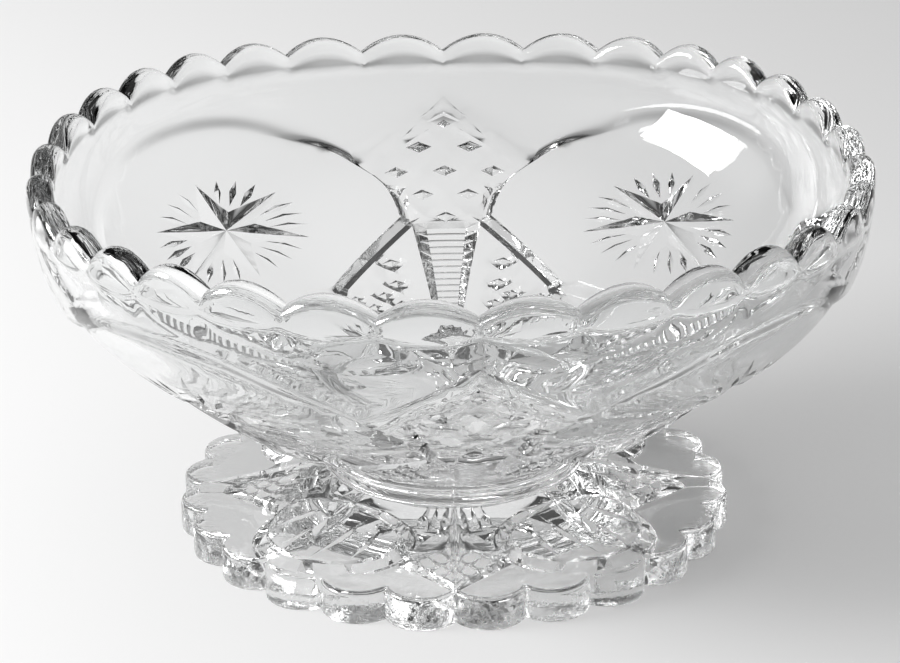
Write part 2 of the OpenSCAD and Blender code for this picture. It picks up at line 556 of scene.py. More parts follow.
@dataclass
class Bowl(Piece):
    """The bowl: its wall, its rim and the pattern pressed into its outside.

    Places on the outside are an angle from the nearest column and a distance down the wall from the rim.
    """

    TABLE: ClassVar[int] = 4001
    RUNG_STEPS: ClassVar[int] = 4

    seam: Seam
    # Wall. A pull is how far a curve's control point lies out, and which share of the wall's height it lies in
    rim_r: float = 99.28
    height: float = 93.87
    rim_wall: float = 5.6
    base_r: float = 31.0
    floor_t: float = 6.0
    outer_pull: Pair = (2.9, 0.46)
    lower_pull: Pair = (0.71, 0.35)
    inner_pull: Pair = (1.1, 0.465)
    inner_flat: float = 1.5
    inner_rings: int = 34
    inner_start: float = 0.97
    # Rim
    scallops: int = 32
    scallop_points: int = 12
    scallop_rise: float = 4.0
    scallop_swell: float = 0.8
    scallop_drift: float = 2.0
    scallop_share: float = 0.2
    crease_drop: Pair = (0.7, 1.3)
    lip_rings: int = 11
    rim_dip: float = 2.2
    rim_square: float = 2.8
    # Turn of the pattern against the foot's, and its wander
    turn: float = 2.5
    turn_back: float = 0.3
    drift: float = 1.2
    # Oval panels and their straight sides
    panel_half_w: float = 53.0
    panel_half_h: float = 30.0
    panel_low_h: float = 33.5
    panel_sink: float = 1.6
    panel_deep: float = 2.8
    panel_deepens: Pair = (20.0, 40.0)
    panel_bevel: float = 4.8
    panel_soft: float = 1.8
    soft_over: float = 12.0
    end_trim: float = 2.2
    end_from: Pair = (2.2, 15.0)
    steep_from: Pair = (0.5, 30.0)
    bevel_rings: int = 9
    crisp_below: float = 14.0
    bar_from: Pair = (-48.3, -11.6)
    bar_to: Pair = (-21.6, -28.1)
    bar_bevel: float = 1.7
    bar_level: float = 0.0
    bar_ridge: float = 1.5
    # Stars
    star_z: float = 49.5
    star_w: float = 24.5
    star_h: float = 15.5
    star_deep: float = 1.7
    star_waist: float = 0.4
    ray_start: float = 0.52
    ray_turn: float = 14.0
    ray_half_w: float = 0.95
    ray_deep: float = 0.85
    # Columns, with their lattices
    peak_s: float = 13.6
    peak_lean: float = 0.855
    shoulder_fall: float = 1.0
    column_bevel: float = 8.5
    upper_sink: float = 1.7
    lower_sink: float = 2.0
    sink_changes: Pair = (44.0, 12.0)
    base_fade: Pair = (1.0, 6.0)
    diamond_s: float = 38.2
    cell_w: float = 4.25
    cell_h: float = 7.15
    cell_rise: float = 0.3
    nick: Pair = (3.1, 1.6)
    flank_from: Pair = (13.0, 59.5)
    flank_count: tuple[int, int] = (9, 12)
    flank_end: float = 96.0
    flank_cell: Pair = (4.0, 3.6)
    flank_rise: float = 0.6
    flank_nick: Pair = (3.2, 1.3)
    # Ladders
    ladder_top: float = 55.8
    ladder_end: float = 99.0
    ladder_wide: float = 6.9
    ladder_taper: Pair = (3.7, 45.0)
    ladder_level: float = -0.6
    ladder_lap: float = 1.2
    ladder_fade: Pair = (3.0, 8.0)
    rung: float = 2.2
    rung_half: float = 4.0
    rung_taper: float = 2.2
    rung_deep: float = 0.55
    # The flat sheet
    sheet_top: float = 12.5
    across_mm: float = 1.45
    dot_step: float = 3.0
    dot_clear: float = 0.9

    def __post_init__(self) -> None:
        """Works out the wall's curves."""
        self.base_z = self.seam.top_z
        self.lip_r = self.rim_wall / 2
        self.shoulder_z = self.height - self.lip_r
        self.wall_h = self.shoulder_z - self.base_z
        self.scallop_low_z = self.shoulder_z - self.scallop_share * self.wall_h
        self.floor_z = self.base_z + self.floor_t
        out, down = self.outer_pull
        share, up = self.lower_pull
        self.outer = np.array([
            (self.rim_r, self.shoulder_z),
            (self.rim_r + out, self.shoulder_z - down * self.wall_h),
            (self.base_r + share * (self.rim_r - self.base_r), self.base_z + up * self.wall_h),
            (self.base_r, self.base_z),
        ])
        out, down = self.inner_pull
        self.inner = np.array([
            (self.rim_r - self.rim_wall, self.shoulder_z),
            (self.rim_r + out, self.shoulder_z - down * self.wall_h),
            (self.inner_flat * self.base_r, self.floor_z),
            (0.0, self.floor_z),
        ])
        self.t_table = np.linspace(0, 1, self.TABLE)
        self.section_table = bezier(self.outer, self.t_table)
        steps = np.linalg.norm(np.diff(self.section_table, axis=0), axis=1)
        self.s_table = np.concatenate([[0], np.cumsum(steps)])
        self.wall_s = float(self.s_table[-1])
        self.panel_s = float(np.interp(0.5, self.t_table, self.s_table))
        self.star_s = float(np.interp(-self.star_z, -self.section_table[:, 1], self.s_table))

    def r_of(self, s: float) -> float:
        """Radius of the wall at a distance down it."""
        return float(np.interp(s, self.s_table, self.section_table[:, 0]))

    def drifted(self, a: np.ndarray) -> np.ndarray:
        """How far the scallops have drifted at angles, in degrees."""
        wave = self.scallop_drift * np.sin(np.radians(QUARTERS * a))
        return self.scallop_drift * np.sin(np.radians(QUARTERS * (a - wave)))

    def scallop(self, a: np.ndarray) -> np.ndarray:
        """Height of the scallop at angles, 0 in the notches and 1 on the crowns."""
        across = 2 * (((a - self.drifted(a)) * self.scallops / 360) % 1) - 1
        return 1 - across**2

    def dip(self, a: np.ndarray) -> np.ndarray:
        """How much lower the whole rim is at angles."""
        return self.rim_dip * (1 + np.cos(np.radians(QUARTERS * a))) / 2

    def rim_drop(self, a: np.ndarray) -> np.ndarray:
        """How far the rim lies below the full height at angles."""
        return self.dip(a) + self.scallop_rise * (1 - self.scallop(a))

    def rim_share(self, z: np.ndarray) -> np.ndarray:
        """Share of the rim's shape that reaches down to heights."""
        return np.clip((z - self.scallop_low_z) / (self.shoulder_z - self.scallop_low_z), 0, 1) ** 2

    def square_shift(self, a: np.ndarray, z: np.ndarray) -> np.ndarray:
        """Outward shift that squares the plan, strongest at the rim."""
        high = np.clip((z - self.base_z) / self.wall_h, 0, 1)
        return -self.rim_square / 2 * np.cos(np.radians(QUARTERS * a)) * high

    def place(self, a: np.ndarray, r: np.ndarray, z: np.ndarray) -> np.ndarray:
        """Points in space from angles, radii and heights."""
        return polar(a + self.turn - self.turn_back - self.drift * np.sin(np.radians(a)), r, z)

    def skin(self, a: np.ndarray, section: np.ndarray) -> np.ndarray:
        """Points of the skin from angles and places in the wall's section."""
        r, z = section[:, 0], section[:, 1]
        return self.place(a, r + self.square_shift(a, z), z - self.rim_drop(a) * self.rim_share(z))

    def outside(self, a: np.ndarray, s: np.ndarray, depth: np.ndarray) -> np.ndarray:
        """Lays places of the outside in space.

        Args:
            a: Their angles.
            s: Their distances down the wall.
            depth: Their depths below it.

        Returns:
            The points.
        """
        near = 0.01
        t = np.interp(s, self.s_table, self.t_table)
        slope = bezier(self.outer, np.minimum(1, t + near)) - bezier(self.outer, np.maximum(0, t - near))
        inward = np.stack([slope[:, 1], -slope[:, 0]], 1) / np.linalg.norm(slope, axis=1)[:, None]
        return self.skin(a, bezier(self.outer, t) + np.reshape(depth, (-1, 1)) * inward)

    def columns(self) -> np.ndarray:
        """Works out the angles of the rim's points, even within each scallop.

        Returns:
            The angles in degrees.
        """
        count, passes = self.scallops * self.scallop_points, 40
        even = np.arange(count) * 360 / count
        a = even.copy()
        for _ in range(passes):
            a = even + self.drifted(a)
        return a

    # The column's ground and the panel's dish

    def ground(self, s: float) -> float:
        """Works out the depth of the column's ground.

        Args:
            s: Distance down the wall.

        Returns:
            The depth.
        """
        (start, length), (gap, fade) = self.sink_changes, self.base_fade
        sunk = self.upper_sink + (self.lower_sink - self.upper_sink) * ease((s - start) / length)
        return float(sunk * ease((self.wall_s - gap - s) / fade))

    def column_depth(self, a: float, s: float) -> float:
        """Works out the depth of the column, with its soft peak and the raised edges beside the panels.

        Args:
            a: Angle from the column's middle.
            s: Distance down the wall.

        Returns:
            The depth.
        """
        peak = ease(self.peak_lean * (s - self.peak_s - self.shoulder_fall * a) / self.column_bevel)
        beside = s > self.panel_s and a > self.ladder_edge(s)
        edge = np.clip(self.bar_gap(a, s) / -self.bar_ridge, 0, 1) if beside else 1.0
        return self.bar_level + (self.ground(s) * float(peak) - self.bar_level) * float(edge)

    def panel_level(self, s: float) -> float:
        """Depth of a panel's floor at a distance down the wall, deeper towards its foot."""
        start, length = self.panel_deepens
        return self.panel_sink + (self.panel_deep - self.panel_sink) * float(ease((s - start) / length))

    def bar_gap(self, a: float, s: float) -> float:
        """Works out the distance from the line of a panel's straight side.

        Args:
            a: Angle from the column's middle.
            s: Distance down the wall.

        Returns:
            The distance, above zero inside the panel.
        """
        (x0, y0), (x1, y1) = self.bar_from, self.bar_to
        x, y = math.radians(a - EIGHTH) * self.r_of(s), self.panel_s - s
        return ((x1 - x0) * (y - y0) - (y1 - y0) * (x - x0)) / math.hypot(x1 - x0, y1 - y0)

    def on_wall(self, point: Pair, middle_s: float) -> Pair:
        """Angle and distance down the wall of a point in millimetres from a middle on a panel's centre line."""
        s = middle_s - point[1]
        return EIGHTH + math.degrees(point[0] / self.r_of(s)), s

    def put(self, point: Pair, middle_s: float) -> Pair:
        """Place on the sheet of a point in millimetres from a middle on a panel's centre line."""
        a, s = self.on_wall(point, middle_s)
        return (EIGHTH if abs(a - EIGHTH) < TINY else a) * self.across_mm, s

    def panel_outline(self) -> tuple[np.ndarray, np.ndarray]:
        """Outlines half a panel, from its top round the column side to its bottom.

        Returns:
            Its points in millimetres, and which of them are on the straight side.
        """
        turn_step, bar_step = 1.5, 2.0
        turn = np.radians(np.arange(90, 270 + turn_step / 2, turn_step))
        half_h = np.where(turn > math.pi, self.panel_low_h, self.panel_half_h)
        oval = np.stack([self.panel_half_w * np.cos(turn), half_h * np.sin(turn)], 1)
        start, end = np.array(self.bar_from), np.array(self.bar_to)
        run = (end - start) / np.linalg.norm(end - start)
        gap = (oval - start) @ np.array((-run[1], run[0]))
        first, last = np.flatnonzero(gap < 0)[[0, -1]]

        def crossing(i: int, j: int) -> np.ndarray:
            """Where the oval passes the bar between two of its points."""
            return oval[i] + (oval[j] - oval[i]) * gap[i] / (gap[i] - gap[j])

        one, two = crossing(first - 1, first), crossing(last + 1, last)
        pieces = max(2, round(np.linalg.norm(two - one) / bar_step))
        bar = one + (two - one) * np.linspace(0, 1, pieces + 1)[:, None]
        straight = np.zeros(first + pieces + len(oval) - last, bool)
        straight[first:first + pieces + 1] = True
        return np.vstack([oval[:first], bar, oval[last + 1:]]), straight

    def draw_panel(self, sheet: Drawing) -> None:
        """Draws the dish of an oval panel, and the peak of the column beside it.

        Args:
            sheet: The sheet.
        """
        outline, straight = self.panel_outline()
        start, length = self.end_from
        soft = self.panel_bevel + self.panel_soft * ease(outline[:, 1] / self.soft_over)
        soft = soft - self.end_trim * ease(-outline[:, 0] / length - start)
        dish = Dish(outline, np.where(straight, self.bar_bevel, soft))
        straight = dish.reach < (self.bar_bevel + self.panel_bevel - self.end_trim) / 2
        start, length = self.steep_from
        steep = np.where(straight, 0.0, ease(np.abs(dish.outline[:, 0]) / length - start))

        def profile(x: np.ndarray) -> np.ndarray:
            """Share of the depth across the bevel: straight on the bars, soft on top, steep inside at the sides."""
            return np.where(straight, x, (1 - steep) * ease(x) + steep * x**2)

        levels = np.array([self.panel_level(self.panel_s - y) for _, y in dish.ring(1.0)])
        begin = self.bevel_start(dish, levels, profile)
        rings = []
        for share in np.linspace(0, 1, self.bevel_rings):
            x = begin + (1 - begin) * share
            rings.append([self.put(p, self.panel_s) for p in dish.ring(x)])
            sheet.stroke(rings[-1], levels * profile(x), crisp=False)
        crease, low = rings[0], rings[-1]
        side = PAST_EIGHTH * self.across_mm
        self.floor = np.array(low + [(side, low[-1][1]), (side, low[0][1])])
        self.bevels = [sorted((crease[i][1], low[i][1])) for i in (0, -1)]
        sharp = np.flatnonzero(dish.outline[:, 1] < self.crisp_below)
        sheet.stroke([low[i] for i in sharp], [levels[i] for i in sharp])
        bar = np.flatnonzero(straight)
        sheet.stroke([crease[i] for i in bar], self.bar_level)
        ridge = dish.outline[bar[1:-1]] - self.bar_ridge * dish.inward[bar[1:-1]]
        ridge = [self.put(p, self.panel_s) for p in ridge]
        sheet.stroke(ridge, [self.ground(s) for _, s in ridge])
        self.draw_peak(sheet, np.array(crease))

    def bevel_start(self, dish: Dish, levels: np.ndarray, profile: Callable[[np.ndarray], np.ndarray]) -> np.ndarray:
        """Finds where a panel's bevel comes out of the column's ground.

        Args:
            dish: The bevel.
            levels: Depth of the panel's floor at each of its points.
            profile: Share of that depth across the bevel.

        Returns:
            The share of the bevel that lies under the ground, at each point.
        """
        passes, steps = 4, 201
        table = np.linspace(0, 1, steps)
        curves = np.stack([profile(np.full(len(levels), t)) for t in table])
        begin = np.zeros(len(levels))
        for _ in range(passes):
            spots = [self.on_wall(p, self.panel_s) for p in dish.ring(begin)]
            wanted = np.array([self.column_depth(a, s) for a, s in spots]) / levels
            begin = np.array([np.interp(w, curves[:, i], table) for i, w in enumerate(wanted)])
        return begin

    def draw_peak(self, sheet: Drawing, crease: np.ndarray) -> None:
        """Draws the soft shoulder of a column's peak.

        Args:
            sheet: The sheet.
            crease: Where the panel's bevel starts, on the sheet.
        """
        below = crease[:, 1] - self.peak_s - self.shoulder_fall * crease[:, 0] / self.across_mm
        below = self.peak_lean * below
        for gap in np.linspace(0, self.column_bevel, 5):
            i = int(np.flatnonzero((below[:-1] <= gap) & (below[1:] > gap))[0])
            end = crease[i] + (crease[i + 1] - crease[i]) * (gap - below[i]) / (below[i + 1] - below[i])
            top = np.array((0.0, self.peak_s + gap / self.peak_lean))
            line = [tuple(top + (end - top) * f) for f in np.linspace(0, 1, 13)]
            sheet.stroke(line, [self.column_depth(x / self.across_mm, y) for x, y in line], crisp=False)

    def draw_star(self, sheet: Drawing) -> None:
        """Draws half of the star cut into a panel's floor: six broad rays, and three fine ones between each two.

        Args:
            sheet: The sheet.
        """
        level = self.panel_level(self.star_s)
        point, clear = 30, 1.03

        def at(turn: float, reach: float) -> Pair:
            """Point of the star at an angle and a share of its reach, none past the mirror line."""
            x = self.star_w * reach * math.cos(math.radians(turn))
            return min(x, 0.0) if abs(x) < TINY else x, self.star_h * reach * math.sin(math.radians(turn))

        def put(spot: Pair) -> Pair:
            """The same point on the sheet."""
            return self.put(spot, self.star_s)

        middle = put((0.0, 0.0))
        for turn in range(90, 271, 2 * point):
            sheet.stroke([middle, put(at(turn, 1))], [level + self.star_deep, None])
        for turn in range(90 + point, 270, 2 * point):
            waist = put(at(turn, self.star_waist))
            sheet.stroke([middle, waist], [level + self.star_deep, None])
            for tip in (turn - point, turn + point):
                sheet.stroke([waist, put(at(tip, 1))], None)
            for ray in (turn - self.ray_turn, turn, turn + self.ray_turn):
                ends = at(ray, self.ray_start), at(ray, 1.0)
                lens_cut(sheet, put, *ends, self.ray_half_w, None, level + self.ray_deep)
        edge = [put(at(turn, clear)) for turn in range(90, 271, 10)]
        side = PAST_EIGHTH * self.across_mm
        sheet.blank(edge + [(side, edge[-1][1]), (side, edge[0][1])])

    def draw_lattice(self, sheet: Drawing) -> None:
        """Draws the lattices: the big diamond on the column, and the cells on both sides of the ladder.

        Args:
            sheet: The sheet.
        """
        k = self.across_mm
        ladder_clear, side_clear, bar_clear = 1.4, 0.4, 0.2

        def ground(x: float, y: float) -> float:
            """Depth of the column under a lozenge."""
            return self.column_depth(x / k, y)

        for row, x in diamond_cells():
            y = self.diamond_s + row * self.cell_h
            high = min(self.cell_h, self.ladder_top - ladder_clear - y)
            pillow(sheet, x * self.cell_w * k, y, self.cell_w * k, high, ground, self.cell_rise, 6, self.nick)
        (wide, high), (columns, rows) = self.flank_cell, self.flank_count
        for j in range(rows):
            for i in range(j % 2, columns, 2):
                a, s = self.flank_from[0] + wide * i, self.flank_from[1] + high * j
                beside = a - wide > self.ladder_edge(s) + side_clear and s + high < self.flank_end
                gap = max(self.bar_gap(a + wide, s), self.bar_gap(a, s - high))
                if beside and gap < -self.bar_ridge - bar_clear:
                    pillow(sheet, a * k, s, wide * k, high, ground, self.flank_rise, 4, self.flank_nick)

    def ladder_edge(self, s: float) -> float:
        """Angle of the ladder's outer edge at a distance down the wall."""
        fall, length = self.ladder_taper
        return self.ladder_wide - fall * (s - self.ladder_top) / length

    def draw_ladder(self, sheet: Drawing) -> None:
        """Draws half of the raised ladder of ribs below the diamond.

        Args:
            sheet: The sheet.
        """
        k, top, bottom = self.across_mm, self.ladder_top, self.ladder_end
        rows = round((bottom - top) / self.rung) * self.RUNG_STEPS
        past, fade = self.ladder_fade
        inner, depths = [], []
        for j in range(rows + 1):
            s = top + (bottom - top) * j / rows
            u = (j % self.RUNG_STEPS) / 2 - 1
            width = self.rung_half - self.rung_taper * j / rows
            depth = self.ladder_level + self.rung_deep * u * u
            depth *= float(ease((bottom + past - s) / fade))
            inner.append((width * k, s))
            depths.append(depth)
            sheet.stroke([(0, s), (width * k / 2, s), (width * k, s)], depth, crisp=j % self.RUNG_STEPS == 0)
        sheet.stroke(inner, depths)
        outer = [
            (self.ladder_edge(s) * k, float(s)) for s in np.arange(top - self.ladder_lap, bottom + 2, self.dot_step)
        ]
        sheet.stroke(outer, [self.ground(s) for _, s in outer])
        start_s, end_s = outer[0][1], outer[-1][1]
        sheet.stroke([inner[0], outer[0]], [depths[0], self.ground(start_s)])
        sheet.stroke([(0, start_s), outer[0]], self.ground(start_s))
        sheet.blank([(-1, start_s)] + outer + [(-1, end_s)])

    def pattern(self) -> Facets:
        """Cuts the outside pattern of an eighth of the bowl, from the middle of a column to the middle of a panel.

        Returns:
            The facets, their places as angles and distances down the wall.
        """
        sheet = Drawing()
        k, width = self.across_mm, EIGHTH * self.across_mm
        rim = [a * k for a in self.columns() if -TINY < a < EIGHTH + TINY]
        rim[0], rim[-1] = 0.0, width
        foot = np.linspace(0, width, self.seam.steps // 8 + 1)
        sheet.stroke([(x, self.sheet_top) for x in rim], 0, crisp=False)
        sheet.stroke([(x, self.wall_s) for x in foot], 0, crisp=False)
        for x in (0.0, width):
            sheet.stroke([(x, self.sheet_top), (x, self.wall_s)], 0, crisp=False)
        self.draw_panel(sheet)
        self.draw_star(sheet)
        self.draw_lattice(sheet)
        self.draw_ladder(sheet)
        self.fill(sheet, width)

        def depth_at(x: float, y: float) -> float:
            """Depth of the plain ground."""
            on_floor = inside(self.floor, min(x, width + 0.5 * k), y)
            return self.panel_level(y) if on_floor else self.column_depth(x / k, y)

        return sheet.cut(depth_at, k)

    def fill(self, sheet: Drawing, width: float) -> None:
        """Fills the plain parts of the sheet and its two mirror lines with dots.

        Args:
            sheet: The sheet.
            width: Its width.
        """
        first, margin, bevel_clear = 1.2, 2.0, 0.5
        rows = np.arange(self.sheet_top + first, self.wall_s, self.dot_step * ROW_PITCH)
        sheet.fill(width, rows, self.dot_step, self.dot_clear)
        for x in (0.0, width):
            for y in np.arange(self.sheet_top + margin, self.wall_s - margin / 2, self.dot_step):
                on_bevel = x > 0 and any(low - bevel_clear < y < high + bevel_clear for low, high in self.bevels)
                if not on_bevel and not sheet.is_blank(abs(x - 0.01), y):
                    sheet.dot(x, y)

    def rim_rings(self, a: np.ndarray) -> list[np.ndarray]:
        """Makes the rings over the lip and down the outside of the scallops, each a small pillow above a crease.

        Args:
            a: Angles of the rings' points.

        Returns:
            The rings, from the inside over the lip to the top of the sheet.
        """
        pillow_rings, band_rings = 6, 4
        scallop, drop = self.scallop(a), self.rim_drop(a)
        square = self.square_shift(a, np.full_like(a, self.shoulder_z))
        rings = []
        for turn in np.radians(np.linspace(0, 180, self.lip_rings)):
            swell = self.scallop_swell * scallop / 2 * (1 - math.cos(turn))
            r = self.rim_r - self.lip_r - self.lip_r * math.cos(turn) + swell + square
            rings.append(self.place(a, r, self.shoulder_z + self.lip_r * math.sin(turn) - drop))
        low_z = float(np.interp(self.sheet_top, self.s_table, self.section_table[:, 1]))
        lip_z = self.shoulder_z - drop
        notch, crown = self.crease_drop
        crease_z = self.shoulder_z - self.dip(a) - self.scallop_rise - notch - crown * scallop
        shares = [(1 - j / pillow_rings, True) for j in range(1, pillow_rings + 1)]
        shares += [(1 - j / band_rings, False) for j in range(1, band_rings)]
        for share, on_pillow in shares:
            high, low = (lip_z, crease_z) if on_pillow else (crease_z, np.full_like(a, low_z))
            z = low + (high - low) * share
            plain_z = low_z + (z - low_z) / (lip_z - low_z) * (self.shoulder_z - low_z)
            r = np.interp(-plain_z, -self.section_table[:, 1], self.section_table[:, 0])
            r = r + self.square_shift(a, plain_z)
            if on_pillow:
                r = r + self.scallop_swell * scallop * share * (2 - share)
            rings.append(self.place(a, r, z))
        rings.append(self.outside(a, np.full_like(a, self.sheet_top), np.zeros_like(a)))
        return rings

    def build(self) -> bpy.types.Object:
        """Makes the bowl's mesh.

        Returns:
            The object.
        """
        glass = Pressing()
        a = self.columns()
        section = bezier(self.inner, np.linspace(self.inner_start, 0, self.inner_rings))
        inner = [self.skin(a, np.repeat([spot], len(a), 0)) for spot in section]
        glass.rings(inner[:-1] + self.rim_rings(a))
        glass.fan(inner[0], self.floor_z, crisp=False)
        glass.mirrored(self.pattern(), self.outside)
        steps = self.seam.steps
        edge = np.arange(steps) * 360 / steps
        base = self.outside(edge, np.full(steps, self.wall_s), np.zeros(steps))
        joint = circle(self.seam.radius, self.seam.top_z, steps)
        joint = np.roll(joint, -round(self.turn * steps / 360), axis=0)
        glass.rings([base, joint])
        glass.fan(joint, self.seam.top_z, Face.FUSED)
        return glass.close("bowl_glass")


@dataclass
class Wafer(Piece):
    """The short collar of glass between bowl and foot, a broad bead over a narrow one."""

    seam: Seam
    bulge: float = 1.5
    groove: float = 0.45
    split: float = 0.42
    bead_steps: int = 10

    def build(self) -> bpy.types.Object:
        """Makes the wafer's mesh.

        Returns:
            The object.
        """
        glass = Pressing()
        low, high = self.seam.low_z, self.seam.top_z
        split = low + self.split * (high - low)
        rings = []
        for bottom, top, first in ((low, split, 0.0), (split, high, self.groove)):
            last = self.groove if top == split else 0.0
            for j in range(0 if bottom == low else 1, self.bead_steps + 1):
                share = j / self.bead_steps
                bump = self.bulge * math.sqrt(max(0.0, 1 - (2 * share - 1) ** 2))
                out = max(bump, first + (last - first) * share)
                rings.append(circle(self.seam.radius + out, bottom + (top - bottom) * share, self.seam.steps))
        glass.rings(rings)
        glass.fan(rings[0], low, Face.FUSED)
        glass.fan(rings[-1], high, Face.FUSED)
        return glass.close("wafer_glass")


@dataclass
class Foot(Piece):
    """The scalloped foot: smooth on top, with four rayed petals and four lattice kites hollowed out below."""

    # A petal's wall, as shares of the way in to its ceiling and of its depth
    WALL: ClassVar[tuple[Pair, ...]] = ((0.0, 0.0), (0.1, 0.2), (0.18, 0.22), (0.82, 0.8), (0.91, 1.1), (1.0, 1.0))
    NOTCH_STEPS: ClassVar[int] = 4
    SCALLOP_STEPS: ClassVar[int] = 15

    seam: Seam
    across: float = 132.4
    scallops: int = 24
    scallop_r: float = 8.9
    edge_z: float = 8.0
    pad_r: float = 30.5
    flat_r: float = 55.3
    shoulder: float = 1.2
    shoulder_insets: tuple[float, ...] = (0.15, 0.4, 0.75)
    heel: float = 0.35
    heel_rings: tuple[Pair, ...] = ((0.0, 0.9), (0.1, 0.3))
    middle_r: float = 12.0
    # Petals
    petal_reach: float = 39.8
    petal_r: float = 19.5
    ceiling_reach: float = 37.0
    ceiling_r: float = 17.5
    ceiling_in: float = 8.0
    petal_sink: float = 6.0
    ray_turns: tuple[float, ...] = (5.6, 15.3, 24.0)
    ray_start: float = 22.0
    ray_inset: float = 0.8
    ray_half_w: float = 1.2
    ray_deep: float = 0.8
    # Kites and the spokes inside them
    kite: tuple[Pair, ...] = ((0.0, 56.2), (-13.0, 41.4), (-8.6, 35.0), (-3.0, 27.0), (0.0, 25.0))
    kite_sink: float = 4.5
    kite_bevel: float = 0.7
    cell_w: float = 3.0
    cell_h: float = 2.9
    cell_rise: float = 0.35
    cell_inset: float = 0.6
    spokes: tuple[Pair, ...] = ((0.0, 23.6), (7.0, 24.0), (14.0, 25.0), (21.0, 23.2))
    spoke_start: float = 13.4
    spoke_half_w: float = 0.9
    # The flat sheets
    across_mm: float = 0.785
    top_step: float = 2.2
    under_step: float = 2.6
    pattern_r: float = 60.0
    dot_clear: float = 0.8

    def top(self, r: np.ndarray | float) -> np.ndarray:
        """Height of the foot's top at a radius."""
        share = np.clip((self.flat_r - r) / (self.flat_r - self.pad_r), 0, 1)
        return self.edge_z + (self.seam.low_z - self.edge_z) * share**2

    def outline(self, inset: float) -> np.ndarray:
        """Works out an eighth of the scalloped edge.

        Args:
            inset: How far it is moved inward.

        Returns:
            Its angles and radii.
        """
        steps = self.NOTCH_STEPS
        ring = self.across / 2 - self.scallop_r
        half = math.pi / self.scallops
        lean = math.asin(ring * math.sin(half) / self.scallop_r)
        notch_r = ring * math.cos(half) + self.scallop_r * math.cos(lean)
        points = []
        for k in range(self.scallops // 8):
            for j in range(min(k, 1), steps + 1):
                points.append(self.turned(notch_r, inset, 2 * k * half, math.pi - lean * j / steps, j == 0))
            middle = (2 * k + 1) * half
            for turn in np.linspace(-lean - half, lean + half, self.SCALLOP_STEPS)[1:-1]:
                points.append(self.turned(ring, self.scallop_r - inset, middle, turn, False))
            for j in range(steps, -1, -1):
                points.append(self.turned(notch_r, inset, 2 * (k + 1) * half, math.pi + lean * j / steps, j == 0))
        return np.array(points)

    @staticmethod
    def turned(radius: float, reach: float, at: float, turn: float, on_line: bool) -> Pair:
        """Angle in degrees and radius of a point at a reach and turn from a centre on the foot."""
        x, y = radius + reach * math.cos(turn), reach * math.sin(turn)
        return math.degrees(at + (0.0 if on_line else math.atan2(y, x))), math.hypot(x, y)

    def on_sheet(self, a: float, x: float, y: float) -> Pair:
        """Place on the sheet of a point in millimetres from the axis, aside from and along a line at an angle."""
        turn = 0.0 if abs(x) < TINY else math.degrees(math.atan2(x, y))
        return (a + turn) * self.across_mm, math.hypot(x, y)

    def on_petal(self, point: Pair) -> Pair:
        """Place on the sheet of a point of a petal, in millimetres from its middle."""
        return self.on_sheet(EIGHTH, point[0], self.petal_reach + point[1])

    def on_kite(self, point: Pair) -> Pair:
        """Place on the sheet of a point of a kite, in millimetres from the axis."""
        return self.on_sheet(0.0, -point[0], point[1])

    def draw_petal(self, sheet: Drawing) -> None:
        """Draws half of a petal: a hollow oval with a fan of cuts from its inner end.

        Args:
            sheet: The sheet.
        """
        turn_step, search_step = 3.0, 0.25
        turn = np.radians(np.arange(90, 270 + turn_step / 2, turn_step))
        round_way = np.stack([np.cos(turn), np.sin(turn)], 1)
        round_way[[0, -1], 0] = 0.0
        mouth = self.petal_r * round_way
        along = np.where(round_way[:, 1:] > 0, (1, self.ceiling_r), (1, self.ceiling_in))
        ceiling = round_way * (self.ceiling_r, 1) * along
        ceiling[:, 1] += self.ceiling_reach - self.petal_reach
        for share, deep in self.WALL:
            ring = [self.on_petal(p) for p in mouth + (ceiling - mouth) * share]
            sheet.stroke(ring, self.petal_sink * deep)
        side = PAST_EIGHTH * self.across_mm
        self.petal_floor = np.array(ring + [(side, ring[-1][1]), (side, ring[0][1])])
        axis = np.array((0.0, -self.petal_reach))
        whole = np.vstack([ceiling, ceiling[::-1] * (-1, 1)])
        for turn in self.ray_turns:
            way = heading(turn)
            reaches = np.arange(self.ray_start, self.pattern_r, search_step)
            reaches = [r for r in reaches if inside(whole, *(axis + r * way))]
            start, end = axis + (reaches[0] + self.ray_inset) * way, axis + (reaches[-1] - self.ray_inset) * way
            lens_cut(sheet, self.on_petal, tuple(start), tuple(end), self.ray_half_w, self.petal_sink,
                     self.petal_sink + self.ray_deep)

    def draw_kite(self, sheet: Drawing) -> None:
        """Draws half of a kite: a hollow with a lattice of nine lozenges.

        Args:
            sheet: The sheet.
        """
        step = 2.0
        outline = []
        for (x0, y0), (x1, y1) in zip(self.kite, self.kite[1:]):
            pieces = max(2, round(math.hypot(x1 - x0, y1 - y0) / step))
            outline += [(x0 + (x1 - x0) * j / pieces, y0 + (y1 - y0) * j / pieces) for j in range(pieces)]
        dish = Dish(np.array(outline + [self.kite[-1]]), self.kite_bevel)
        for share in (0.0, 1.0):
            ring = [self.on_kite(p) for p in dish.ring(share)]
            sheet.stroke(ring, self.kite_sink * share)
        self.kite_floor = np.array(ring + [(-1, ring[-1][1]), (-1, ring[0][1])])

        def ground(_x: float, _y: float) -> float:
            """Depth of the kite's floor."""
            return self.kite_sink

        for row, x in diamond_cells():
            r = ring[0][1] - self.cell_inset - (row + CELLS_A_SIDE) * self.cell_h
            wide = math.degrees(self.cell_w / r) * self.across_mm
            pillow(sheet, x * wide, r, wide, self.cell_h, ground, self.cell_rise, 4)

